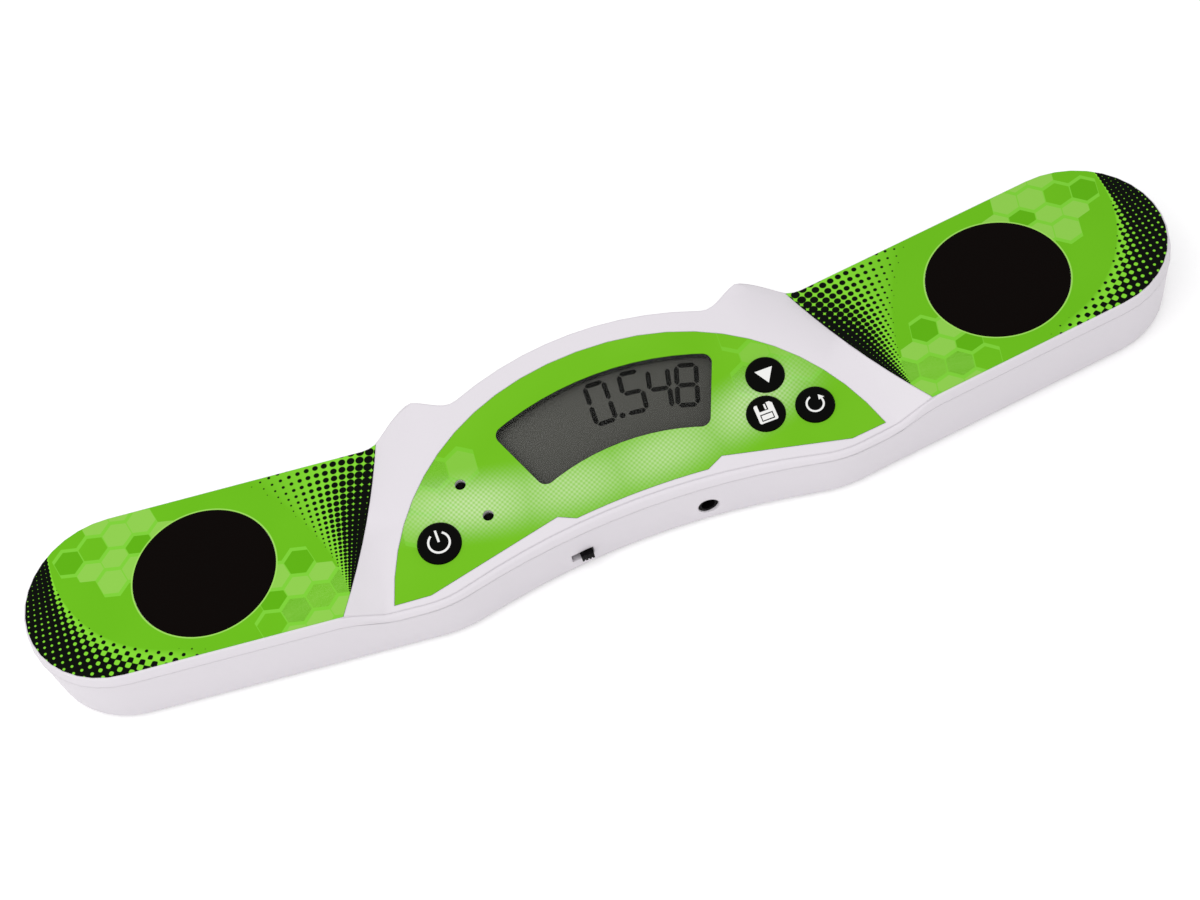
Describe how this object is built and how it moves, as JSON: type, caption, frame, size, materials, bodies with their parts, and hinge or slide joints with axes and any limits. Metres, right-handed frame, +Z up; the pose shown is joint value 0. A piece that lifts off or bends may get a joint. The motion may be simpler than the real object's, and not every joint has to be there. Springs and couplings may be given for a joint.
{
  "type": "speed cube timer",
  "caption": "Low tabletop timer with a round touch pad on each arm and, between them, a raised tilted panel with an arc-shaped display window, round keys, a slide switch and a data jack.",
  "frame": {"origin": "on the table, under the centre of the housing's outline", "axes": "+X to the user's right along both arms, +Y away from the user, +Z up"},
  "size_m": [0.3022, 0.0566, 0.0276],
  "materials": {
    "housing_white": "satin moulded plastic",
    "label_print": "printed film",
    "pad_black": "smooth matt",
    "key_black": "polished",
    "window_clear": "polished clear",
    "lcd_cell": "polarised cell",
    "lcd_frame_grey": "moulded",
    "contact_rubber": "soft",
    "circuit_board": "solder mask over glass fibre",
    "chip_resin": "cured resin",
    "switch_dark": "moulded",
    "plunger_cream": "moulded",
    "led_epoxy": "tinted epoxy",
    "plated_steel": "zinc plated",
    "copper_foil": "bare copper",
    "wire_sleeve": "extruded sleeve",
    "lead_red": "extruded sleeve",
    "jack_black": "moulded",
    "cell_wrap": "printed sleeve",
    "foot_rubber": "moulded rubber"
  },
  "bodies": {
    "housing": {"top_cover": "housing_white", "bottom_cover": "housing_white", "left_arm_label": "label_print", "right_arm_label": "label_print", "centre_label": "label_print", "left_touch_pad": "pad_black", "right_touch_pad": "pad_black", "left_pad_electrode": "copper_foil", "right_pad_electrode": "copper_foil", "left_sensor_wire": "wire_sleeve", "right_sensor_wire": "wire_sleeve", "display_window": "window_clear", "lcd_glass": "lcd_cell", "lcd_frame": "lcd_frame_grey", "lcd_connectors": "contact_rubber", "main_board": "circuit_board", "controller_chip": "chip_resin", "tact_switches": "switch_dark", "hand_leds": "led_epoxy", "board_screws": "plated_steel", "io_board": "circuit_board", "board_link": "jack_black", "data_jack": "jack_black", "slide_switch": "plated_steel", "battery_cells": "cell_wrap", "battery_springs": "plated_steel", "battery_tabs": "plated_steel", "battery_leads": "lead_red", "rubber_feet": "foot_rubber", "case_screws": "plated_steel"},
    "power_key": {"power_button": "key_black", "power_plunger": "plunger_cream"},
    "recall_key": {"recall_button": "key_black", "recall_plunger": "plunger_cream"},
    "save_key": {"save_button": "key_black", "save_plunger": "plunger_cream"},
    "reset_key": {"reset_button": "key_black", "reset_plunger": "plunger_cream"},
    "slide_lever": {"slide_lever": "jack_black"},
    "battery_door": {"battery_door": "housing_white"}
  },
  "joints": [
    {"name": "power_press", "type": "slide", "parent": "housing", "child": "power_key", "axis": [0, 0.1959, -0.9806], "range_m": [0, 0.0008], "stiffness_N_per_m": 1200},
    {"name": "recall_press", "type": "slide", "parent": "housing", "child": "recall_key", "axis": [0, 0.1959, -0.9806], "range_m": [0, 0.0008], "stiffness_N_per_m": 1200},
    {"name": "save_press", "type": "slide", "parent": "housing", "child": "save_key", "axis": [0, 0.1959, -0.9806], "range_m": [0, 0.0008], "stiffness_N_per_m": 1200},
    {"name": "reset_press", "type": "slide", "parent": "housing", "child": "reset_key", "axis": [0, 0.1959, -0.9806], "range_m": [0, 0.0008], "stiffness_N_per_m": 1200},
    {"name": "mode_slide", "type": "slide", "parent": "housing", "child": "slide_lever", "axis": [-1, 0, 0], "range_m": [0, 0.002]},
    {"name": "battery_door_hinge", "type": "hinge", "parent": "housing", "child": "battery_door", "pos_m": [0, -0.00436, 0.0023], "axis": [-1, 0, 0], "range_deg": [0, 70]}
  ]
}
